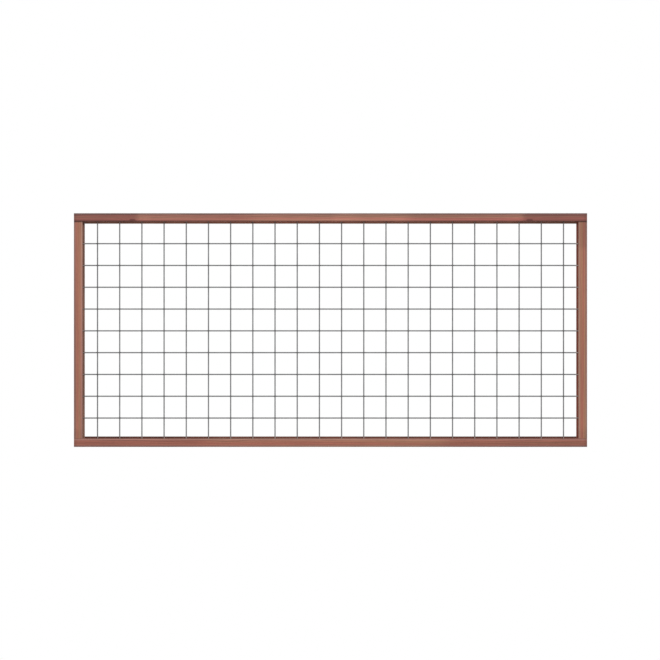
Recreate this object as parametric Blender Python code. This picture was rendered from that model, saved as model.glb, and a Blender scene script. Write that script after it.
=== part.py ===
"""Hog panel: a timber frame that holds a mesh of welded wire.

Lengths are in metres. X runs along the panel, Y from its front to its back, and Z up.
The origin is at the foot of the panel, in the middle of its width and depth.
"""

import math

import bmesh
import bpy
from mathutils import Vector

# Overall size: 92.5 in fits between posts on 8 ft centres, and 42 in is a guard's height
PANEL_WIDTH = 2.350
PANEL_HEIGHT = 1.070

# Front frame: rails over the full width, stiles between them
RAIL_FACE = 0.038
STILE_FACE = 0.040
FRAME_DEPTH = 0.038
FRAME_EASE = 0.003
EASE_SEGMENTS = 3
# Wood left outside the rabbet that houses the edge of the mesh
RABBET_LAND = 0.016

# Battens behind the frame, which clamp the mesh and show as a strip inside it
BATTEN_THICKNESS = 0.019
BATTEN_REVEAL = 0.010
BATTEN_EASE = 0.0015

# Mesh: stays stand in front, lines run across behind them
WIRE_DIAMETER = 0.0057
STAY_PITCH = 0.1016
LINE_PITCH = 0.0998
# From the rabbet's shoulder up to the centre of the lowest line wire
EDGE_WIRE_RISE = 0.0165
# From the rabbet's shoulder to the cut end of a wire
WIRE_END_CLEARANCE = 0.004
WIRE_SIDES = 16

# Corner screws: down through a rail into the end grain of a stile
CORNER_SCREW_DIAMETER = 0.005
CORNER_SCREW_BITE = 0.042

# Batten screws: from the back, through a batten into the frame
BATTEN_SCREW_DIAMETER = 0.004
# Wood left between a batten screw's point and the front of the frame
BATTEN_SCREW_COVER = 0.017
# From the end of a top or bottom batten to its first screw
BATTEN_SCREW_INSET = 0.120
SCREWS_PER_LONG_BATTEN = 3

# Countersunk head and point, as multiples of a screw's diameter
HEAD_DIAMETER_RATIO = 1.9
HEAD_RIM_RATIO = 0.1
HEAD_HEIGHT_RATIO = 0.6
POINT_RATIO = 1.4
SOCKET_WIDTH_RATIO = 0.6
SOCKET_DEPTH_RATIO = 0.45
# How far a head lies below the wood around it
SCREW_SINK = 0.0005
SCREW_SIDES = 16

# Gap wherever two pieces meet, and how far a cutter runs past the face it cuts
SEAT_GAP = 0.0003
CUT_OVERRUN = 0.004
MERGE_DISTANCE = 0.000001

ACROSS = Vector((1, 0, 0))
FORWARD = Vector((0, -1, 0))
UP = Vector((0, 0, 1))

# Places that follow from the sizes above
HALF_WIDTH = PANEL_WIDTH / 2
WIRE_RADIUS = WIRE_DIAMETER / 2
RAIL_BATTEN_WIDTH = RAIL_FACE + BATTEN_REVEAL
STILE_BATTEN_WIDTH = STILE_FACE + BATTEN_REVEAL
PANEL_DEPTH = FRAME_DEPTH + SEAT_GAP + BATTEN_THICKNESS
FRONT_Y = -PANEL_DEPTH / 2
BACK_Y = PANEL_DEPTH / 2
FRAME_BACK_Y = FRONT_Y + FRAME_DEPTH
FRAME_MIDDLE_Y = FRONT_Y + FRAME_DEPTH / 2
BATTEN_MIDDLE_Y = BACK_Y - BATTEN_THICKNESS / 2
# The rabbet is just deep enough for one stay and one line, each with its gap
RABBET_DEPTH = 2 * (WIRE_DIAMETER + SEAT_GAP)
LIP_DEPTH = FRAME_DEPTH - RABBET_DEPTH
STAY_Y = FRAME_BACK_Y - RABBET_DEPTH + SEAT_GAP + WIRE_RADIUS
LINE_Y = STAY_Y + WIRE_DIAMETER + SEAT_GAP
WIRE_END_INSET = RABBET_LAND + WIRE_END_CLEARANCE


def clear_scene():
    for old in list(bpy.data.objects):
        bpy.data.objects.remove(old)


def make_material(name, colour, roughness, metallic):
    material = bpy.data.materials.new(name)
    material.use_nodes = True
    shader = material.node_tree.nodes["Principled BSDF"]
    shader.inputs["Base Color"].default_value = (*colour, 1.0)
    shader.inputs["Roughness"].default_value = roughness
    shader.inputs["Metallic"].default_value = metallic
    material.diffuse_color = (*colour, 1.0)
    return material


def place(name, mesh, location, rotation=None, parent=None):
    """Add an object that shows this mesh, turned by a quaternion where one is given."""
    piece = bpy.data.objects.new(name, mesh)
    bpy.context.scene.collection.objects.link(piece)
    piece.location = location
    if rotation is not None:
        piece.rotation_mode = "QUATERNION"
        piece.rotation_quaternion = rotation
    piece.parent = parent
    return piece


def as_cutter(piece):
    piece.display_type = "WIRE"
    piece.hide_render = True
    return piece


def cut(piece, cutter):
    boolean = piece.modifiers.new(f"cut by {cutter.name}", "BOOLEAN")
    boolean.operation = "DIFFERENCE"
    boolean.solver = "EXACT"
    boolean.object = cutter


def finish_mesh(name, builder, material=None, smooth_angle=None):
    """Turn a bmesh into a mesh whose faces point out."""
    bmesh.ops.recalc_face_normals(builder, faces=builder.faces)
    mesh = bpy.data.meshes.new(name)
    builder.to_mesh(mesh)
    builder.free()
    if material:
        mesh.materials.append(material)
    if smooth_angle:
        mesh.shade_smooth()
        mesh.set_sharp_from_angle(angle=smooth_angle)
    return mesh


def box_mesh(name, size, material=None):
    builder = bmesh.new()
    bmesh.ops.create_cube(builder, size=1.0)
    bmesh.ops.scale(builder, vec=Vector(size), verts=builder.verts)
    return finish_mesh(name, builder, material)


def board_mesh(name, size, ease, material):
    """A board along X whose four long edges are rounded over and whose ends are sawn square."""
    builder = bmesh.new()
    bmesh.ops.create_cube(builder, size=1.0)
    bmesh.ops.scale(builder, vec=Vector(size), verts=builder.verts)
    long_edges = [
        edge
        for edge in builder.edges
        if abs(edge.verts[0].co.x - edge.verts[1].co.x) > MERGE_DISTANCE
    ]
    bmesh.ops.bevel(
        builder,
        geom=long_edges,
        offset=ease,
        segments=EASE_SEGMENTS,
        profile=0.5,
        affect="EDGES",
    )
    return finish_mesh(name, builder, material, smooth_angle=math.radians(40))


def turned_mesh(name, profile, sides, material=None):
    """A solid turned about Z from (radius, height) points that start and end on the axis."""
    builder = bmesh.new()
    points = [builder.verts.new((radius, 0, height)) for radius, height in profile]
    edges = [builder.edges.new(pair) for pair in zip(points, points[1:])]
    bmesh.ops.spin(
        builder,
        geom=points + edges,
        cent=(0, 0, 0),
        axis=(0, 0, 1),
        angle=math.tau,
        steps=sides,
        use_merge=True,
    )
    bmesh.ops.remove_doubles(builder, verts=builder.verts, dist=MERGE_DISTANCE)
    return finish_mesh(name, builder, material, smooth_angle=math.radians(40))


def evenly(low, high, count):
    return [low + (high - low) * step / (count - 1) for step in range(count)]


def make_board(name, centre, length, thickness, width, ease, upright, material, parent):
    """A board of the frame or of the battens: thickness runs along Y, width across the face."""
    mesh = board_mesh(name, (length, thickness, width), ease, material)
    direction = UP if upright else ACROSS
    return place(name, mesh, centre, ACROSS.rotation_difference(direction), parent)


def make_frame(material, parent):
    """Four members butted at the corners, with one rabbet run round their inner back edge."""
    rail_rise = RAIL_FACE / 2
    stile_reach = HALF_WIDTH - STILE_FACE / 2
    stile_length = PANEL_HEIGHT - 2 * (RAIL_FACE + SEAT_GAP)
    members = {}
    for name, height in (("top_rail", PANEL_HEIGHT - rail_rise), ("bottom_rail", rail_rise)):
        members[name] = make_board(
            name,
            (0, FRAME_MIDDLE_Y, height),
            PANEL_WIDTH,
            FRAME_DEPTH,
            RAIL_FACE,
            FRAME_EASE,
            False,
            material,
            parent,
        )
    for name, across in (("left_stile", -stile_reach), ("right_stile", stile_reach)):
        members[name] = make_board(
            name,
            (across, FRAME_MIDDLE_Y, PANEL_HEIGHT / 2),
            stile_length,
            FRAME_DEPTH,
            STILE_FACE,
            FRAME_EASE,
            True,
            material,
            parent,
        )
    rabbet_size = (
        PANEL_WIDTH - 2 * RABBET_LAND,
        RABBET_DEPTH + CUT_OVERRUN,
        PANEL_HEIGHT - 2 * RABBET_LAND,
    )
    rabbet_middle_y = FRAME_BACK_Y + (CUT_OVERRUN - RABBET_DEPTH) / 2
    rabbet = as_cutter(
        place(
            "rabbet_cutter",
            box_mesh("rabbet_cutter", rabbet_size),
            (0, rabbet_middle_y, PANEL_HEIGHT / 2),
            parent=parent,
        )
    )
    for member in members.values():
        cut(member, rabbet)
    return members


def make_battens(material, parent):
    """Side battens over the full height, which lap the frame's corners, and two between them."""
    between = PANEL_WIDTH - 2 * (STILE_BATTEN_WIDTH + SEAT_GAP)
    rise = RAIL_BATTEN_WIDTH / 2
    reach = HALF_WIDTH - STILE_BATTEN_WIDTH / 2
    battens = {}
    for name, height in (("top_batten", PANEL_HEIGHT - rise), ("bottom_batten", rise)):
        battens[name] = make_board(
            name,
            (0, BATTEN_MIDDLE_Y, height),
            between,
            BATTEN_THICKNESS,
            RAIL_BATTEN_WIDTH,
            BATTEN_EASE,
            False,
            material,
            parent,
        )
    for name, across in (("left_batten", -reach), ("right_batten", reach)):
        battens[name] = make_board(
            name,
            (across, BATTEN_MIDDLE_Y, PANEL_HEIGHT / 2),
            PANEL_HEIGHT,
            BATTEN_THICKNESS,
            STILE_BATTEN_WIDTH,
            BATTEN_EASE,
            True,
            material,
            parent,
        )
    return battens


def stay_places():
    """Distances along X from left to right, with one cell of the mesh on the centre line."""
    limit = HALF_WIDTH - STILE_BATTEN_WIDTH - WIRE_DIAMETER
    right = []
    across = STAY_PITCH / 2
    while across < limit:
        right.append(across)
        across += STAY_PITCH
    return [-reach for reach in reversed(right)] + right


def line_places():
    """Heights from the edge wire behind the bottom rail up to the last line under the top batten."""
    limit = PANEL_HEIGHT - RAIL_BATTEN_WIDTH - WIRE_DIAMETER
    heights = []
    height = RABBET_LAND + EDGE_WIRE_RISE
    while height < limit:
        heights.append(height)
        height += LINE_PITCH
    return heights


def wire_mesh(name, length, material):
    profile = [
        (0, length / 2),
        (WIRE_RADIUS, length / 2),
        (WIRE_RADIUS, -length / 2),
        (0, -length / 2),
    ]
    return turned_mesh(name, profile, WIRE_SIDES, material)


def make_wires(material, parent):
    """Straight wires that cross at their welds and end inside the rabbet."""
    stay = wire_mesh("stay_wire", PANEL_HEIGHT - 2 * WIRE_END_INSET, material)
    for number, across in enumerate(stay_places(), 1):
        place(f"stay_wire_{number:02d}", stay, (across, STAY_Y, PANEL_HEIGHT / 2), parent=parent)
    line = wire_mesh("line_wire", PANEL_WIDTH - 2 * WIRE_END_INSET, material)
    lying = UP.rotation_difference(ACROSS)
    for number, height in enumerate(line_places(), 1):
        place(f"line_wire_{number:02d}", line, (0, LINE_Y, height), lying, parent)


def screw_profile(diameter, length, gap=0.0, overrun=0.0):
    """Outline of a countersunk screw that points down, or with a gap that of the hole it fills."""
    head_radius = diameter * HEAD_DIAMETER_RATIO / 2 + gap
    shank_radius = diameter / 2 + gap
    return [
        (0, overrun),
        (head_radius, overrun),
        (head_radius, -diameter * HEAD_RIM_RATIO),
        (shank_radius, -diameter * HEAD_HEIGHT_RATIO),
        (shank_radius, -length + diameter * POINT_RATIO),
        (0, -length - 2 * gap),
    ]


def screw_mesh(name, diameter, length, material):
    """A countersunk screw with a square socket in its head."""
    solid = turned_mesh(name, screw_profile(diameter, length), SCREW_SIDES, material)
    blank = place(f"{name}_blank", solid, (0, 0, 0))
    width = diameter * SOCKET_WIDTH_RATIO
    depth = diameter * SOCKET_DEPTH_RATIO
    socket_box = box_mesh(f"{name}_socket", (width, width, depth + CUT_OVERRUN))
    socket = place(f"{name}_socket", socket_box, (0, 0, (CUT_OVERRUN - depth) / 2))
    cut(blank, socket)
    graph = bpy.context.evaluated_depsgraph_get()
    finished = bpy.data.meshes.new_from_object(blank.evaluated_get(graph))
    finished.name = name
    for helper in (blank, socket):
        bpy.data.objects.remove(helper)
    return finished


def make_screw_kit(name, diameter, length, material):
    """The mesh of a screw and the mesh of its hole."""
    hole_profile = screw_profile(diameter, length, SEAT_GAP, CUT_OVERRUN)
    return {
        "screw": screw_mesh(name, diameter, length, material),
        "hole": turned_mesh(f"{name}_hole", hole_profile, SCREW_SIDES),
    }


def drive_screw(name, kit, surface, direction, pieces, parent):
    """Sink a screw into the surface, and cut its hole in each piece that it enters."""
    location = surface + direction * SCREW_SINK
    rotation = (-UP).rotation_difference(direction)
    place(name, kit["screw"], location, rotation, parent)
    hole = as_cutter(place(f"{name}_hole", kit["hole"], location, rotation, parent))
    for piece in pieces:
        cut(piece, hole)


def screw_corners(members, material, parent):
    """One screw a corner, in the middle of the wood in front of the rabbet."""
    kit = make_screw_kit(
        "corner_screw",
        CORNER_SCREW_DIAMETER,
        RAIL_FACE + CORNER_SCREW_BITE,
        material,
    )
    depth = FRONT_Y + LIP_DEPTH / 2
    reach = HALF_WIDTH - STILE_FACE / 2
    for side, across in (("left", -reach), ("right", reach)):
        for level, height, direction in (("top", PANEL_HEIGHT, -UP), ("bottom", 0, UP)):
            surface = Vector((across, depth, height))
            pieces = (members[f"{level}_rail"], members[f"{side}_stile"])
            drive_screw(f"corner_screw_{level}_{side}", kit, surface, direction, pieces, parent)


def screw_battens(members, battens, material, parent):
    """Screws along the middle of the land, from the back of each batten into the frame."""
    kit = make_screw_kit(
        "batten_screw",
        BATTEN_SCREW_DIAMETER,
        BATTEN_THICKNESS + FRAME_DEPTH - BATTEN_SCREW_COVER,
        material,
    )
    edge = RABBET_LAND / 2
    end = HALF_WIDTH - STILE_BATTEN_WIDTH - BATTEN_SCREW_INSET
    for level, height in (("top", PANEL_HEIGHT - edge), ("bottom", edge)):
        pieces = (battens[f"{level}_batten"], members[f"{level}_rail"])
        for number, across in enumerate(evenly(-end, end, SCREWS_PER_LONG_BATTEN), 1):
            surface = Vector((across, BACK_Y, height))
            name = f"{level}_batten_screw_{number}"
            drive_screw(name, kit, surface, FORWARD, pieces, parent)
    rail_middles = (("top", PANEL_HEIGHT - RAIL_FACE / 2), ("bottom", RAIL_FACE / 2))
    for side, across in (("left", -HALF_WIDTH + edge), ("right", HALF_WIDTH - edge)):
        for level, height in rail_middles:
            pieces = (battens[f"{side}_batten"], members[f"{level}_rail"])
            surface = Vector((across, BACK_Y, height))
            name = f"{side}_batten_screw_{level}"
            drive_screw(name, kit, surface, FORWARD, pieces, parent)


def main():
    clear_scene()
    stained_wood = make_material("stained_wood", (0.33, 0.15, 0.11), 0.6, 0.0)
    dark_wood = make_material("dark_wood", (0.12, 0.05, 0.04), 0.65, 0.0)
    galvanised = make_material("galvanised_wire", (0.38, 0.38, 0.38), 0.4, 1.0)
    zinc = make_material("screw_steel", (0.55, 0.52, 0.45), 0.35, 1.0)
    panel = bpy.data.objects.new("hog_panel", None)
    bpy.context.scene.collection.objects.link(panel)
    members = make_frame(stained_wood, panel)
    battens = make_battens(dark_wood, panel)
    make_wires(galvanised, panel)
    screw_corners(members, zinc, panel)
    screw_battens(members, battens, zinc, panel)


main()
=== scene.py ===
"""Looks of the hog panel: stained timber, welded wire, floor, light and camera.

Lengths are in metres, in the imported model's frame: X along the panel, Y to its back, Z up.
Colours are red, green and blue from 0 to 255, as they look on screen.
"""

import math

import bmesh
import bpy
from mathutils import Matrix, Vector, noise


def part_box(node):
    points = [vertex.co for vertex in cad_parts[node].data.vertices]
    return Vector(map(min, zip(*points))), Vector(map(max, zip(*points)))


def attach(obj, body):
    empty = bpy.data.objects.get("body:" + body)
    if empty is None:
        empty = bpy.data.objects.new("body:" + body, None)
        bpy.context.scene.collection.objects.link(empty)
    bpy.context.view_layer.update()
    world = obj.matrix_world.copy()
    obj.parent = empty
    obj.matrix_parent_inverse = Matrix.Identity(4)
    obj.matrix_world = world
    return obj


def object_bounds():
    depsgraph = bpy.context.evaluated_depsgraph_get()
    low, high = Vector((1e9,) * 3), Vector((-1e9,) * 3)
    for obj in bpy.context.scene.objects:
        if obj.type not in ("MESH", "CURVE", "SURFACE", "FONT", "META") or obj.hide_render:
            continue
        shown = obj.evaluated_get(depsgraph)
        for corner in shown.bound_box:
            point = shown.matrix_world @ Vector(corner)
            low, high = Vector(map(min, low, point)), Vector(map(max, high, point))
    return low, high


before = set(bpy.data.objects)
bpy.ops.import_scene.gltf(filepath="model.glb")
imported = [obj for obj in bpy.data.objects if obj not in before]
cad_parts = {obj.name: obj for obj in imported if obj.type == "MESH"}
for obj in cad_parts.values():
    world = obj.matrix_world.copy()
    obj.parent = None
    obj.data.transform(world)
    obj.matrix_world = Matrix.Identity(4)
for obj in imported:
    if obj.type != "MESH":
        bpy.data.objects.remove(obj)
cad_box = [list(corner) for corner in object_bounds()]

# Photograph's scale and framing
IMAGE_PIXELS = 660
METRES_PER_PIXEL = 0.004579
PANEL_CENTRE_PIXEL = (330.51, 330.08)
CAMERA_DISTANCE = 6.0

# Light, with its angles in degrees
KEY_ELEVATION = 26.0
KEY_AZIMUTH = -8.0
KEY_STRENGTH = 1.55
KEY_ANGLE = 16.0
AMBIENT_STRENGTH = 0.76

# Floor
FLOOR_SIZE = 90.0
FLOOR_LEVEL = -0.0003
FLOOR_GREYS = ((236, 236, 234), (242, 242, 241))
FLOOR_NOISE = (3.0, 3.0, 3.0)

# A board's grain runs along X in a rail and along Z in a stile
RAIL = "x"
STILE = "z"

# A stretch of a board is measured along its grain, through its depth or across its face, or
# by how far the surface faces the front: 1 on the front, 0 on a side and -1 on the back
ALONG, DEPTH, ACROSS, FACING = 0, 1, 2, 3
SIDE_BELOW, FRONT_ABOVE = 0.5, 0.9

# A board's lower and upper edge, or its left and right one. A weathered edge is greyer: the
# grey starts at the first of these distances from it, and is full at the second
LOW_EDGE, HIGH_EDGE = -1, 1
WEATHERED_FROM, WEATHERED_TO = 0.011, 0.004
WEATHERED_SATURATION = 0.82

# Growth rings
RING_SPACING = 0.0034
RING_WANDER = 0.0026
PITH_SWAY = 0.024

# Knots, which are drawn out along the grain and flattened across it. Shares are of a knot's
# radius: how far it pushes the rings aside, how wide that push is, how much its edge
# wanders and where its own wood is full
KNOTS_ALONG = (-0.9080, 0.9120)
KNOT_HEIGHT = 0.007
KNOT_RADIUS = 0.0095
KNOT_RING_SPACING = 0.0019
KNOT_SCALE_ALONG = 0.50
KNOT_SCALE_ACROSS = 1.35
KNOT_PUSH_SHARE = 0.9
KNOT_REACH_SHARE = 2.2
KNOT_WANDER_SHARE = 0.5
KNOT_HEART_SHARE = 0.55
KNOT_STRENGTH = 0.72

# Noise in the timber, in cycles per metre along the grain, through the depth and across
SWAY_NOISE = (1.1, 0.0, 0.0)
RIPPLE_NOISE = (5.0, 55.0, 55.0)
STREAK_NOISE = (0.8, 40.0, 125.0)
WARMTH_NOISE = (0.5, 30.0, 80.0)
DRIFT_NOISE = (2.6, 9.0, 22.0)
FIBRE_NOISE = (16.0, 850.0, 850.0)
PORE_NOISE = (48.0, 1500.0, 1500.0)
KNOT_NOISE = (110.0, 110.0, 110.0)

# The timber's surface: the brightness that its marks take away and its arrises gain, how
# matt it is, and how deep its grain
LATE_WOOD_SHADE = 0.24
PORE_SHADE = 0.22
SAWN_END_SHADE = 0.38
ARRIS_GAIN = 0.07
WOOD_ROUGHNESS = 0.56
FIBRE_ROUGHNESS = 0.18
GRAIN_DEPTH = 0.0004

# The timber's colours: a redder and a tanner one for each kind of member, how far the
# battens' sides and backs lean to the tanner one, and those of a knot and its rings
FRAME_RED = (152, 92, 76)
FRAME_TAN = (147, 103, 79)
TOP_RED = (155, 91, 81)
TOP_TAN = (150, 104, 86)
# The battens' colours are darker partly as painted shade of the recess behind the frame
BATTEN_RED = (123, 62, 47)
BATTEN_TAN = (117, 80, 65)
BATTEN_BACK_LEAN = 0.22
KNOT_BROWN = (86, 42, 37)
KNOT_RING_BROWN = (60, 28, 25)

# Slivers that close the battens' joints
JOINT_CLEARANCE = 0.00001
JOINT_INSET = 0.0018

# Metal
STAY_GREYS = ((110, 111, 112), (126, 127, 128))
LINE_GREYS = ((98, 99, 100), (113, 114, 115))
WELD_GREYS = ((84, 83, 82), (116, 116, 115))
SCREW_TONES = ((150, 134, 96), (186, 172, 130))
HEAT_GREY = (80, 79, 79)
HEAT_REACH = 0.0075
HEAT_CORE = HEAT_REACH * 0.35
HEAT_WANDER = 0.004
HEAT_STRENGTH = 0.5
DRAW_MARKS_ALONG = 70.0
DRAW_MARKS_ACROSS = 800.0
DRAW_MARK_DEPTH = 0.0002
BLOOM_NOISE = (22.0, 22.0, 22.0)
SPANGLE_CELLS = 520.0
WELD_NOISE = (700.0, 700.0, 700.0)
SCREW_NOISE = (350.0, 350.0, 350.0)

# Wires' ends: over what length they change, the painted light and shade that set how bright they
# are at each side of the panel inside the frame's shaded recess, and what the timber's stain does
# to their colour
END_FADE = 0.006
HEAD_PAINTED_LIGHT = 1.0
FOOT_PAINTED_LIGHT = 1.22
LEFT_PAINTED_LIGHT = 0.95
RIGHT_PAINTED_LIGHT = 1.58
STAIN_ON_WIRE = (1.28, 1.02, 0.92)

# Welds: a lens of metal at each crossing of two wires, swollen unevenly
WELD_RADIUS = 0.0034
WELD_THICKNESS = 0.0017
WELD_SWELL = 0.18
WELD_LUMPS = 1.7
WELD_RIPPLE_DEPTH = 0.0003
SEED_PER_ROW = 7.0
SEED_PER_COLUMN = 1.9

# Shading of the solids
ROUND_ANGLE = 38.0
JOIN_DISTANCE = 0.00001


def linear(red, green, blue):
    """A colour given as 0 to 255 on screen, as linear values for a shader."""

    def one(value):
        share = value / 255
        return share / 12.92 if share <= 0.04045 else ((share + 0.055) / 1.055) ** 2.4

    return (one(red), one(green), one(blue), 1.0)


class Nodes:
    """One material's nodes, with a short call for each kind that is used here."""

    def __init__(self, name):
        self.material = bpy.data.materials.new(name)
        self.material.use_nodes = True
        self.tree = self.material.node_tree
        self.shader = self.tree.nodes["Principled BSDF"]
        self.position = self.tree.nodes.new("ShaderNodeTexCoord").outputs["Object"]
        self.normal = self.tree.nodes.new("ShaderNodeNewGeometry").outputs["Normal"]

    def feed(self, socket, value):
        """Link a node's output to the socket, or set the socket to a plain value."""
        if isinstance(value, bpy.types.NodeSocket):
            self.tree.links.new(value, socket)
        else:
            socket.default_value = value

    def math(self, operation, first, second=0.0):
        node = self.tree.nodes.new("ShaderNodeMath")
        node.operation = operation
        self.feed(node.inputs[0], first)
        self.feed(node.inputs[1], second)
        return node.outputs[0]

    def add(self, first, second):
        return self.math("ADD", first, second)

    def minus(self, first, second):
        return self.math("SUBTRACT", first, second)

    def times(self, *values):
        product = values[0]
        for value in values[1:]:
            product = self.math("MULTIPLY", product, value)
        return product

    def vector_math(self, operation, first, second=(0.0, 0.0, 0.0)):
        node = self.tree.nodes.new("ShaderNodeVectorMath")
        node.operation = operation
        self.feed(node.inputs[0], first)
        self.feed(node.inputs[1], second)
        return node.outputs["Value"] if operation == "LENGTH" else node.outputs["Vector"]

    def split(self, vector):
        node = self.tree.nodes.new("ShaderNodeSeparateXYZ")
        self.feed(node.inputs[0], vector)
        return tuple(node.outputs)

    def join(self, x, y, z):
        node = self.tree.nodes.new("ShaderNodeCombineXYZ")
        for socket, value in zip(node.inputs, (x, y, z)):
            self.feed(socket, value)
        return node.outputs[0]

    def noise(self, vector, scales, detail=2.0, roughness=0.5):
        """Noise with a scale of its own along each axis, in cycles per metre."""
        node = self.tree.nodes.new("ShaderNodeTexNoise")
        self.feed(node.inputs["Vector"], self.vector_math("MULTIPLY", vector, scales))
        self.feed(node.inputs["Scale"], 1.0)
        self.feed(node.inputs["Detail"], detail)
        self.feed(node.inputs["Roughness"], roughness)
        return node.outputs["Fac"]

    def cells(self, vector, scale):
        """A value between 0 and 1 that is the same all over each cell."""
        node = self.tree.nodes.new("ShaderNodeTexVoronoi")
        self.feed(node.inputs["Vector"], vector)
        self.feed(node.inputs["Scale"], scale)
        return self.split(node.outputs["Color"])[0]

    def step(self, value, low, high, bottom=0.0, top=1.0):
        """A smooth step from bottom, where value is low, to top, where value is high."""
        node = self.tree.nodes.new("ShaderNodeMapRange")
        node.interpolation_type = "SMOOTHSTEP"
        self.feed(node.inputs["Value"], value)
        self.feed(node.inputs["From Min"], low)
        self.feed(node.inputs["From Max"], high)
        self.feed(node.inputs["To Min"], bottom)
        self.feed(node.inputs["To Max"], top)
        return node.outputs["Result"]

    def mix(self, share, first, second):
        node = self.tree.nodes.new("ShaderNodeMix")
        node.data_type = "RGBA"
        self.feed(node.inputs["Factor"], share)
        self.feed(node.inputs["A"], first)
        self.feed(node.inputs["B"], second)
        return node.outputs["Result"]

    def between(self, tones, value, low, high):
        """A colour that goes from the first tone to the second as value goes from low to high."""
        first, second = (linear(*tone) for tone in tones)
        return self.mix(self.step(value, low, high), first, second)

    def shade(self, colour, factor):
        """The colour with each of its channels multiplied by the factor."""
        node = self.tree.nodes.new("ShaderNodeVectorMath")
        node.operation = "SCALE"
        self.feed(node.inputs[0], colour)
        self.feed(node.inputs["Scale"], factor)
        return node.outputs["Vector"]

    def greyed(self, share, colour, saturation):
        """The colour with less saturation where share is high."""
        node = self.tree.nodes.new("ShaderNodeHueSaturation")
        self.feed(node.inputs["Fac"], share)
        self.feed(node.inputs["Color"], colour)
        self.feed(node.inputs["Saturation"], saturation)
        return node.outputs["Color"]

    def bump(self, height, strength, distance):
        node = self.tree.nodes.new("ShaderNodeBump")
        self.feed(node.inputs["Height"], height)
        self.feed(node.inputs["Strength"], strength)
        self.feed(node.inputs["Distance"], distance)
        return node.outputs["Normal"]

    def finish(self, **inputs):
        """Feed the shader's inputs, named with _ for each space, and return the material."""
        for name, value in inputs.items():
            self.feed(self.shader.inputs[name.replace("_", " ")], value)
        return self.material


def make_smoothing():
    """Geometry nodes that join the faces at their corners and shade what is round smooth."""
    group = bpy.data.node_groups.new("smooth_rounds", "GeometryNodeTree")
    group.interface.new_socket("Geometry", in_out="INPUT", socket_type="NodeSocketGeometry")
    group.interface.new_socket("Geometry", in_out="OUTPUT", socket_type="NodeSocketGeometry")
    start = group.nodes.new("NodeGroupInput")
    weld = group.nodes.new("GeometryNodeMergeByDistance")
    weld.inputs["Distance"].default_value = JOIN_DISTANCE
    plain = group.nodes.new("GeometryNodeRemoveAttribute")
    plain.inputs["Name"].default_value = "custom_normal"
    faces = group.nodes.new("GeometryNodeSetShadeSmooth")
    faces.domain = "FACE"
    edges = group.nodes.new("GeometryNodeSetShadeSmooth")
    edges.domain = "EDGE"
    edges.inputs["Shade Smooth"].default_value = False
    angle = group.nodes.new("GeometryNodeInputMeshEdgeAngle")
    sharp = group.nodes.new("FunctionNodeCompare")
    sharp.inputs["B"].default_value = math.radians(ROUND_ANGLE)
    end = group.nodes.new("NodeGroupOutput")
    group.links.new(start.outputs[0], weld.inputs["Geometry"])
    group.links.new(weld.outputs["Geometry"], plain.inputs["Geometry"])
    group.links.new(plain.outputs["Geometry"], faces.inputs["Geometry"])
    group.links.new(faces.outputs["Geometry"], edges.inputs["Geometry"])
    group.links.new(angle.outputs["Unsigned Angle"], sharp.inputs["A"])
    group.links.new(sharp.outputs["Result"], edges.inputs["Selection"])
    group.links.new(edges.outputs["Geometry"], end.inputs[0])
    return group


SMOOTHING = make_smoothing()


def dress(name, material):
    """Give a CAD node this material in place of its plain one, and shade its rounds smooth."""
    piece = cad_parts[name]
    piece.data.materials.clear()
    piece.data.materials.append(material)
    piece.modifiers.new("smooth_rounds", "NODES").node_group = SMOOTHING
    flat = piece.modifiers.new("flat_faces", "WEIGHTED_NORMAL")
    flat.keep_sharp = True


def finished_mesh(name, builder, material):
    """The builder's shape as a mesh with this material."""
    mesh = bpy.data.meshes.new(name)
    builder.to_mesh(mesh)
    builder.free()
    mesh.materials.append(material)
    return mesh


def add_piece(mesh):
    """Add a piece of the scene's own, which rides with the panel."""
    piece = bpy.data.objects.new(mesh.name, mesh)
    bpy.context.scene.collection.objects.link(piece)
    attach(piece, "root")


def middle_of(name):
    low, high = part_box(name)
    return (low + high) / 2


def grain_place(nodes, grain):
    """Where a point of a board is, and how it faces, in the order ALONG, DEPTH, ACROSS, FACING."""
    x, y, z = nodes.split(nodes.position)
    facing = nodes.times(nodes.split(nodes.normal)[1], -1.0)
    return (x, y, z, facing) if grain == RAIL else (z, y, x, facing)


def ring_radius(nodes, shifted, place, middle, pith):
    """Distance from the tree's pith, which runs beside the board and sways along it."""
    sway = nodes.noise(shifted, SWAY_NOISE, 1.0)
    sway = nodes.times(nodes.minus(sway, 0.5), PITH_SWAY)
    from_pith_depth = nodes.add(nodes.minus(place[DEPTH], middle[DEPTH] + pith[0]), sway)
    from_pith_across = nodes.minus(place[ACROSS], middle[ACROSS] + pith[1])
    radius = nodes.vector_math("LENGTH", nodes.join(0.0, from_pith_depth, from_pith_across))
    ripple = nodes.noise(shifted, RIPPLE_NOISE)
    return nodes.add(radius, nodes.times(nodes.minus(ripple, 0.5), RING_WANDER))


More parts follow.
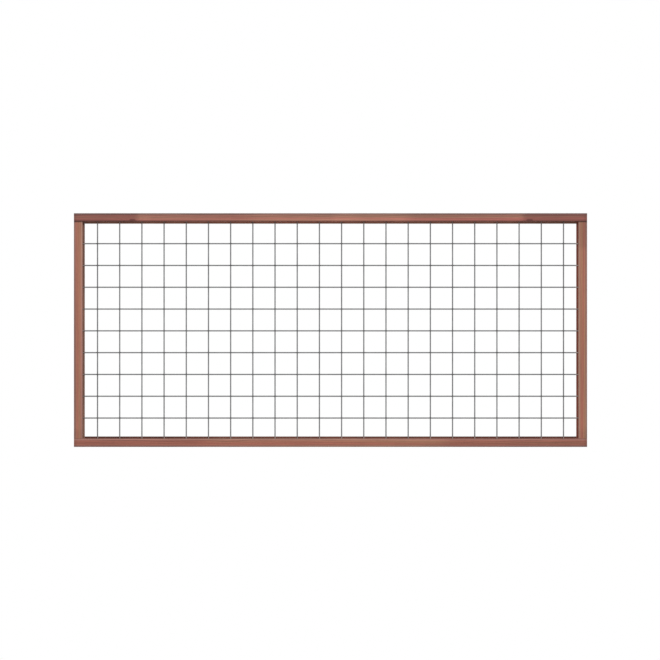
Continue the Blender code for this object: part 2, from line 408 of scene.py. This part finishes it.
def knot_shapes(nodes, place, knots):
    """How far knots push the rings aside, the mask of the knots' own wood, and the rings in it."""
    push, core, rings = 0.0, 0.0, 0.0
    uneven = nodes.minus(nodes.noise(nodes.position, KNOT_NOISE), 0.5)
    for knot_along, knot_across, size in knots:
        away_along = nodes.times(nodes.minus(place[ALONG], knot_along), KNOT_SCALE_ALONG)
        away_across = nodes.times(nodes.minus(place[ACROSS], knot_across), KNOT_SCALE_ACROSS)
        away = nodes.vector_math("LENGTH", nodes.join(away_along, away_across, 0.0))
        near = nodes.math("POWER", nodes.math("DIVIDE", away, size * KNOT_REACH_SHARE), 2.0)
        near = nodes.math("EXPONENT", nodes.times(near, -1.0))
        push = nodes.add(push, nodes.times(near, size * KNOT_PUSH_SHARE))
        away = nodes.add(away, nodes.times(uneven, size * KNOT_WANDER_SHARE))
        inside = nodes.step(away, size, size * KNOT_HEART_SHARE)
        turn = nodes.math("FRACT", nodes.times(away, 1 / KNOT_RING_SPACING))
        rings = nodes.add(rings, nodes.times(inside, nodes.step(turn, 0.25, 0.90)))
        core = nodes.add(core, inside)
    return push, core, rings


def brightness(nodes, place, stretches):
    """The share of brightness that the darker and paler stretches leave."""
    share = 1.0
    for axis, start, end, left in stretches:
        share = nodes.times(share, nodes.step(place[axis], start, end, 1.0, left))
    return share


def total(nodes, place, stretches):
    """The sum of what the stretches add."""
    added = 0.0
    for axis, start, end, amount in stretches:
        added = nodes.add(added, nodes.step(place[axis], start, end, 0.0, amount))
    return added


def largest_part(nodes, vector):
    """The largest of a vector's three parts, whatever their signs."""
    parts = [nodes.math("ABSOLUTE", part) for part in nodes.split(vector)]
    return nodes.math("MAXIMUM", nodes.math("MAXIMUM", parts[0], parts[1]), parts[2])


def wood(
    name,
    grain,
    tones,
    seed,
    share=1.0,
    knots=(),
    stains_and_painted_light=(),
    leans=(),
    pith=(0.05, 0.03),
    weathered=(LOW_EDGE, HIGH_EDGE),
):
    """Stained softwood, with growth rings, knots, fibres and pores that run through the board.

    tones are the stain's redder and tanner colours, and share is how bright they are here.
    knots are (along, across, radius). The stretches of stain and of painted light and shade are
    (axis, start, end, share): brightness changes from start to end, and keeps that share beyond
    it. leans are (axis, start, end, amount): the colour leans to the tanner tone beyond end, or
    below 0 to the redder one. pith is the pith's place beside the board's middle, in depth and
    across. The board is greyer along its weathered edges.
    """
    nodes = Nodes(name)
    place = grain_place(nodes, grain)
    low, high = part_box(name)
    middle, half = (low + high) / 2, (high - low) / 2
    if grain == STILE:
        middle, half = middle.zyx, half.zyx
    shifted = nodes.join(nodes.add(place[ALONG], seed), place[DEPTH], place[ACROSS])

    # Each ring darkens gradually into its late wood, which ends sharply
    push, core, knot_rings = knot_shapes(nodes, place, knots)
    radius = nodes.add(ring_radius(nodes, shifted, place, middle, pith), push)
    phase = nodes.math("FRACT", nodes.times(radius, 1 / RING_SPACING))
    late = nodes.times(nodes.step(phase, 0.35, 0.86), nodes.step(phase, 1.0, 0.93))

    streak = nodes.noise(shifted, STREAK_NOISE, 3.0, 0.6)
    warmth = nodes.noise(shifted, WARMTH_NOISE, 2.0)
    warmth = nodes.add(warmth, total(nodes, place, leans))
    drift = nodes.noise(shifted, DRIFT_NOISE)
    fibre = nodes.noise(shifted, FIBRE_NOISE, 2.0, 0.65)
    pore = nodes.step(nodes.noise(shifted, PORE_NOISE, 1.0), 0.62, 0.72)

    # Rounded arrises face between two axes, and sawn ends face along the grain
    arris = nodes.step(largest_part(nodes, nodes.normal), 0.985, 0.85)
    end_normal = nodes.split(nodes.normal)[0 if grain == RAIL else 2]
    sawn = nodes.step(nodes.math("ABSOLUTE", end_normal), 0.85, 0.95)

    body = nodes.between(tones, warmth, 0.38, 0.62)
    body = nodes.shade(
        body,
        nodes.times(
            nodes.step(streak, 0.28, 0.72, 0.86, 1.14),
            nodes.step(drift, 0.25, 0.75, 0.92, 1.08),
            nodes.step(fibre, 0.25, 0.75, 0.88, 1.12),
            nodes.minus(1.0, nodes.times(late, LATE_WOOD_SHADE)),
            nodes.minus(1.0, nodes.times(pore, PORE_SHADE)),
            nodes.minus(1.0, nodes.times(sawn, SAWN_END_SHADE)),
            nodes.add(1.0, nodes.times(arris, ARRIS_GAIN)),
            brightness(nodes, place, stains_and_painted_light),
            share,
        ),
    )
    for edge in weathered:
        from_middle = nodes.times(nodes.minus(place[ACROSS], middle[ACROSS]), edge)
        from_edge = nodes.minus(half[ACROSS], from_middle)
        near_edge = nodes.step(from_edge, WEATHERED_FROM, WEATHERED_TO)
        body = nodes.greyed(near_edge, body, WEATHERED_SATURATION)
    if knots:
        knot_wood = nodes.mix(knot_rings, linear(*KNOT_BROWN), linear(*KNOT_RING_BROWN))
        body = nodes.mix(nodes.times(core, KNOT_STRENGTH), body, knot_wood)

    rough = nodes.add(WOOD_ROUGHNESS, nodes.times(fibre, FIBRE_ROUGHNESS))
    height = nodes.minus(nodes.minus(fibre, nodes.times(late, 0.6)), nodes.times(pore, 0.5))
    relief = nodes.bump(height, 0.4, GRAIN_DEPTH)
    return nodes.finish(Base_Color=body, Roughness=rough, Normal=relief, Specular_IOR_Level=0.3)


def rail_ends(reach):
    """Stain drawn into the sawn ends of a rail."""
    return (
        (ALONG, -reach + 0.018, -reach + 0.004, 0.80),
        (ALONG, reach - 0.018, reach - 0.004, 0.80),
    )


def dress_top_rail():
    """Darker along its top and towards its ends, with painted shade along its lower edge, near
    which two knots lie.
    """
    low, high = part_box("top_rail")
    foot, head = low.z, high.z
    knots = [(along, foot + KNOT_HEIGHT, KNOT_RADIUS) for along in KNOTS_ALONG]
    stains_and_painted_light = rail_ends(high.x) + (
        (ACROSS, head - 0.021, head + 0.003, 0.48),
        (ACROSS, head - 0.0010, head - 0.0001, 1.55),
        # painted shade along the lower edge, which faces down, away from the key light
        (ACROSS, foot + 0.0095, foot + 0.0015, 0.51),
        (ALONG, -0.866, -0.900, 0.67),
        (ALONG, -0.840, -0.812, 0.91),
        (ALONG, -0.450, -0.300, 1.24),
        (ALONG, -0.010, 0.030, 1.13),
        (ALONG, 0.110, 0.170, 0.90),
        (ALONG, 0.300, 0.400, 0.81),
        (ALONG, 0.785, 0.815, 1.08),
        (ALONG, 0.864, 0.898, 0.70),
    )
    leans = (
        (ACROSS, foot + 0.0100, foot + 0.0040, -0.12),
        (ALONG, -0.870, -0.915, -0.12),
        (ALONG, -0.450, -0.300, 0.05),
        (ALONG, 0.300, 0.400, -0.05),
        (ALONG, 0.870, 0.915, -0.12),
    )
    material = wood(
        "top_rail",
        RAIL,
        (TOP_RED, TOP_TAN),
        seed=3.1,
        knots=knots,
        stains_and_painted_light=stains_and_painted_light,
        leans=leans,
        weathered=(HIGH_EDGE,),
    )
    dress("top_rail", material)


def dress_bottom_rail():
    """Darker and redder over its outer quarters, darker along its foot, and with a painted
    highlight along its upper edge.
    """
    low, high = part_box("bottom_rail")
    foot, head = low.z, high.z
    stains_and_painted_light = rail_ends(high.x) + (
        (ACROSS, foot + 0.012, foot + 0.001, 0.74),
        # painted highlight along the upper edge, which faces up to the key light
        (ACROSS, head - 0.009, head - 0.003, 1.18),
        (ALONG, -0.500, -0.660, 0.90),
        (ALONG, 0.460, 0.620, 0.90),
    )
    leans = (
        (ALONG, -0.500, -0.660, -0.14),
        (ALONG, 0.460, 0.620, -0.14),
    )
    material = wood(
        "bottom_rail",
        RAIL,
        (FRAME_RED, FRAME_TAN),
        seed=8.4,
        share=0.95,
        stains_and_painted_light=stains_and_painted_light,
        leans=leans,
    )
    dress("bottom_rail", material)


def dress_stiles():
    """Darker at the foot and on the outer arris, with a dark line at the upper end, where the top
    rail meets it: the joint and painted shade under the rail. The inner arris has a painted
    highlight.
    """
    tones = (FRAME_RED, FRAME_TAN)
    left, right = middle_of("left_stile").x, middle_of("right_stile").x
    low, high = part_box("left_stile")
    half = (high.x - low.x) / 2
    shared = (
        # dark line under the top rail: the joint, and painted shade under the rail's lower edge
        (ALONG, high.z - 0.0055, high.z - 0.0020, 0.50),
        (ALONG, low.z + 0.060, low.z + 0.020, 0.88),
    )
    left_stains_and_painted_light = shared + (
        (ACROSS, left - half + 0.018, left - half - 0.001, 0.66),
        # painted highlight on the inner arris, then darker right at the inner edge
        (ACROSS, left + half - 0.009, left + half - 0.006, 1.07),
        (ACROSS, left + half - 0.004, left + half - 0.001, 0.85),
    )
    right_stains_and_painted_light = shared + (
        (ACROSS, right + half - 0.016, right + half + 0.001, 0.70),
        # painted light on the inner arris, which the key leaves in shade
        (ACROSS, right - half + 0.009, right - half + 0.002, 1.16),
        (ALONG, high.z - 0.140, high.z - 0.105, 0.84),
    )
    for name, seed, share, stains_and_painted_light, pith in (
        ("left_stile", 12.7, 1.0, left_stains_and_painted_light, (0.04, -0.05)),
        ("right_stile", 17.9, 0.95, right_stains_and_painted_light, (0.05, 0.04)),
    ):
        dress(name, wood(name, STILE, tones, seed, share, stains_and_painted_light=stains_and_painted_light, pith=pith))


def dress_battens():
    """The battens are darker than the frame, partly stain and partly painted shade of the recess
    behind it, and each front carries painted light and shade that evens out how the key reaches
    it.
    """
    darker_ends = {
        "top_batten": ((ALONG, -0.800, -0.950, 0.82), (ALONG, 0.800, 0.950, 0.82)),
        "bottom_batten": ((ALONG, -0.480, -0.760, 0.62), (ALONG, 0.440, 0.720, 0.62)),
    }
    redder_ends = {
        "bottom_batten": ((ALONG, -0.480, -0.760, -0.12), (ALONG, 0.440, 0.720, -0.12)),
    }
    tones = (BATTEN_RED, BATTEN_TAN)
    for name, grain, seed, front_painted_light, front_lean in (
        ("top_batten", RAIL, 21.3, 1.52, 0.06),
        ("bottom_batten", RAIL, 26.0, 0.80, 0.04),
        ("left_batten", STILE, 30.7, 1.04, 0.04),
        ("right_batten", STILE, 35.4, 1.25, -0.32),
    ):
        # each front's share is painted light where the frame shades the recess and painted shade
        # where the key reaches it
        stains_and_painted_light = darker_ends.get(name, ()) + ((FACING, SIDE_BELOW, FRONT_ABOVE, front_painted_light),)
        leans = redder_ends.get(name, ()) + (
            (FACING, SIDE_BELOW, FRONT_ABOVE, front_lean),
            (FACING, FRONT_ABOVE, SIDE_BELOW, BATTEN_BACK_LEAN),
        )
        dress(name, wood(name, grain, tones, seed, stains_and_painted_light=stains_and_painted_light, leans=leans, weathered=()))


def from_crossing(nodes, coordinate, centres):
    """Distance along a wire to the nearest of the evenly spaced wires that cross it."""
    pitch = (centres[-1] - centres[0]) / (len(centres) - 1)
    count = nodes.times(nodes.minus(coordinate, centres[0]), 1 / pitch)
    away = nodes.math("ABSOLUTE", nodes.minus(count, nodes.math("ROUND", count)))
    return nodes.times(away, pitch)


def zinc_wire(name, axis, crossings, greys, ends):
    """Galvanised wire along an axis: dull grey with draw marks along it, faint spangle and
    paler bloom, and a heat mark at each weld. Its ends have taken on some of the timber's
    stain, and each end has painted light and shade of its own, inside the frame's recess.
    ends are (start, end, share): from start to end the painted brightness changes to that share."""
    nodes = Nodes(name)
    place = nodes.split(nodes.position)
    scales = [DRAW_MARKS_ACROSS] * 3
    scales[axis] = DRAW_MARKS_ALONG
    drawn = nodes.noise(nodes.position, scales, 2.0, 0.6)
    bloom = nodes.noise(nodes.position, BLOOM_NOISE, 3.0, 0.55)
    spangle = nodes.cells(nodes.position, SPANGLE_CELLS)
    colour = nodes.between(greys, bloom, 0.35, 0.68)
    away = from_crossing(nodes, place[axis], crossings)
    ragged = nodes.add(away, nodes.times(nodes.minus(bloom, 0.5), HEAT_WANDER))
    heat = nodes.step(ragged, HEAT_REACH, HEAT_CORE)
    colour = nodes.mix(nodes.times(heat, HEAT_STRENGTH), colour, linear(*HEAT_GREY))
    stained = total(nodes, place, [(axis, start, end, 1.0) for start, end, share in ends])
    colour = nodes.mix(stained, colour, nodes.vector_math("MULTIPLY", colour, STAIN_ON_WIRE))
    colour = nodes.shade(
        colour,
        nodes.times(
            nodes.step(drawn, 0.3, 0.7, 0.93, 1.07),
            nodes.step(spangle, 0.0, 1.0, 0.95, 1.05),
            brightness(nodes, place, [(axis, *end) for end in ends]),
        ),
    )
    rough = nodes.add(nodes.step(bloom, 0.3, 0.7, 0.36, 0.52), nodes.times(spangle, 0.05))
    rough = nodes.add(rough, nodes.times(heat, 0.12))
    relief = nodes.bump(drawn, 0.25, DRAW_MARK_DEPTH)
    return nodes.finish(Base_Color=colour, Roughness=rough, Normal=relief, Metallic=0.7)


def weld_metal():
    """Metal that the weld squeezed out: dark, rough and patchy."""
    nodes = Nodes("weld_metal")
    patch = nodes.noise(nodes.position, WELD_NOISE, 3.0, 0.6)
    colour = nodes.between(WELD_GREYS, patch, 0.3, 0.7)
    rough = nodes.step(patch, 0.25, 0.75, 0.48, 0.7)
    relief = nodes.bump(patch, 0.5, WELD_RIPPLE_DEPTH)
    return nodes.finish(Base_Color=colour, Roughness=rough, Normal=relief, Metallic=0.6)


def screw_metal():
    """Yellowish zinc plating."""
    nodes = Nodes("screw_finish")
    patch = nodes.noise(nodes.position, SCREW_NOISE, 3.0, 0.6)
    colour = nodes.between(SCREW_TONES, patch, 0.3, 0.7)
    rough = nodes.step(patch, 0.25, 0.75, 0.28, 0.45)
    return nodes.finish(Base_Color=colour, Roughness=rough, Metallic=0.9)


def wires(prefix):
    """The names of all wires of one kind, in order."""
    return sorted(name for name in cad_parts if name.startswith(prefix))


def dress_metal():
    """Zinc on the stays, which run along Z, on the lines, which run along X, and on the screws."""
    stays, lines = wires("stay_wire_"), wires("line_wire_")
    across = [middle_of(name).x for name in stays]
    heights = [middle_of(name).z for name in lines]
    foot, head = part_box("bottom_batten")[1].z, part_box("top_batten")[0].z
    left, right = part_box("left_batten")[1].x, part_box("right_batten")[0].x
    stay_ends = ((foot + END_FADE, foot, FOOT_PAINTED_LIGHT), (head - END_FADE, head, HEAD_PAINTED_LIGHT))
    line_ends = ((left + END_FADE, left, LEFT_PAINTED_LIGHT), (right - END_FADE, right, RIGHT_PAINTED_LIGHT))
    upright = zinc_wire("stay_zinc", 2, heights, STAY_GREYS, stay_ends)
    level = zinc_wire("line_zinc", 0, across, LINE_GREYS, line_ends)
    for name in stays:
        dress(name, upright)
    for name in lines:
        dress(name, level)
    plated = screw_metal()
    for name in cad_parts:
        if "_screw_" in name:
            dress(name, plated)


def add_weld(builder, centre, seed):
    """A small lens of squeezed-out metal in the gap between two crossing wires."""
    made = bmesh.ops.create_icosphere(builder, subdivisions=3, radius=1.0)["verts"]
    for vertex in made:
        direction = vertex.co.copy()
        lump = noise.noise(direction * WELD_LUMPS + Vector((seed, 0, 0)))
        swell = 1 + WELD_SWELL * lump
        vertex.co = centre + Vector(
            (
                direction.x * WELD_RADIUS * swell,
                direction.y * WELD_THICKNESS,
                direction.z * WELD_RADIUS * swell,
            )
        )


def make_welds():
    """One piece of welds for each line wire, a weld at every stay that it crosses."""
    metal = weld_metal()
    stays = [middle_of(name) for name in wires("stay_wire_")]
    for row, line in enumerate(wires("line_wire_")):
        level = middle_of(line)
        builder = bmesh.new()
        for column, stay in enumerate(stays):
            centre = Vector((stay.x, (stay.y + level.y) / 2, level.z))
            add_weld(builder, centre, SEED_PER_ROW * row + SEED_PER_COLUMN * column)
        mesh = finished_mesh(line.replace("wire", "welds"), builder, metal)
        mesh.shade_smooth()
        add_piece(mesh)


def fill_batten_joints():
    """A sliver of wood closes the hairline joint at each end of the upper and lower battens."""
    for level in ("top_batten", "bottom_batten"):
        low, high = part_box(level)
        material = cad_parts[level].data.materials[0]
        for side, near, far in (
            ("left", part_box("left_batten")[1].x, low.x),
            ("right", high.x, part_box("right_batten")[0].x),
        ):
            builder = bmesh.new()
            bmesh.ops.create_cube(builder, size=1.0)
            size = Vector((far - near, high.y - low.y, high.z - low.z))
            size -= Vector((2 * JOINT_CLEARANCE, 2 * JOINT_INSET, 2 * JOINT_INSET))
            centre = Vector(((near + far) / 2, (low.y + high.y) / 2, (low.z + high.z) / 2))
            for vertex in builder.verts:
                vertex.co = centre + vertex.co * size
            add_piece(finished_mesh(f"{level}_{side}_joint", builder, material))


def make_floor():
    """A pale, matt floor just under the panel."""
    mesh = bpy.data.meshes.new("floor")
    half = FLOOR_SIZE / 2
    corners = ((-half, -half), (half, -half), (half, half), (-half, half))
    mesh.from_pydata([(x, y, FLOOR_LEVEL) for x, y in corners], [], [(0, 1, 2, 3)])
    floor = bpy.data.objects.new("floor", mesh)
    bpy.context.scene.collection.objects.link(floor)
    nodes = Nodes("pale_floor")
    patch = nodes.noise(nodes.position, FLOOR_NOISE)
    first, second = (linear(*grey) for grey in FLOOR_GREYS)
    colour = nodes.mix(patch, first, second)
    mesh.materials.append(nodes.finish(Base_Color=colour, Roughness=0.8))


def make_light():
    """A white surround that the camera sees at full strength, and one soft key from above."""
    world = bpy.data.worlds.new("surround")
    bpy.context.scene.world = world
    world.use_nodes = True
    tree = world.node_tree
    background = tree.nodes["Background"]
    background.inputs["Color"].default_value = (1, 1, 1, 1)
    rays = tree.nodes.new("ShaderNodeLightPath")
    strength = tree.nodes.new("ShaderNodeMapRange")
    strength.inputs["To Min"].default_value = AMBIENT_STRENGTH
    strength.inputs["To Max"].default_value = 1.0
    tree.links.new(rays.outputs["Is Camera Ray"], strength.inputs["Value"])
    tree.links.new(strength.outputs["Result"], background.inputs["Strength"])
    sun = bpy.data.lights.new("key", "SUN")
    sun.energy = KEY_STRENGTH
    sun.angle = math.radians(KEY_ANGLE)
    key = bpy.data.objects.new("key", sun)
    bpy.context.scene.collection.objects.link(key)
    elevation, azimuth = math.radians(KEY_ELEVATION), math.radians(KEY_AZIMUTH)
    towards_light = Vector(
        (
            -math.sin(azimuth) * math.cos(elevation),
            -math.cos(azimuth) * math.cos(elevation),
            math.sin(elevation),
        )
    )
    key.rotation_mode = "QUATERNION"
    key.rotation_quaternion = towards_light.to_track_quat("Z", "Y")


def make_camera():
    """A level view from straight in front, with no perspective, as the photograph has."""
    camera = bpy.data.objects.new("camera", bpy.data.cameras.new("camera"))
    bpy.context.scene.collection.objects.link(camera)
    camera.data.type = "ORTHO"
    camera.data.ortho_scale = IMAGE_PIXELS * METRES_PER_PIXEL
    image_middle = IMAGE_PIXELS / 2
    low, high = (Vector(corner) for corner in cad_box)
    middle = (low + high) / 2
    camera.location = (
        middle.x - (PANEL_CENTRE_PIXEL[0] - image_middle) * METRES_PER_PIXEL,
        -CAMERA_DISTANCE,
        middle.z + (PANEL_CENTRE_PIXEL[1] - image_middle) * METRES_PER_PIXEL,
    )
    camera.rotation_euler = (math.radians(90), 0, 0)
    bpy.context.scene.camera = camera
    bpy.context.scene.view_settings.view_transform = "Standard"


make_camera()
make_light()
make_floor()
dress_top_rail()
dress_bottom_rail()
dress_stiles()
dress_battens()
dress_metal()
make_welds()
fill_batten_joints()
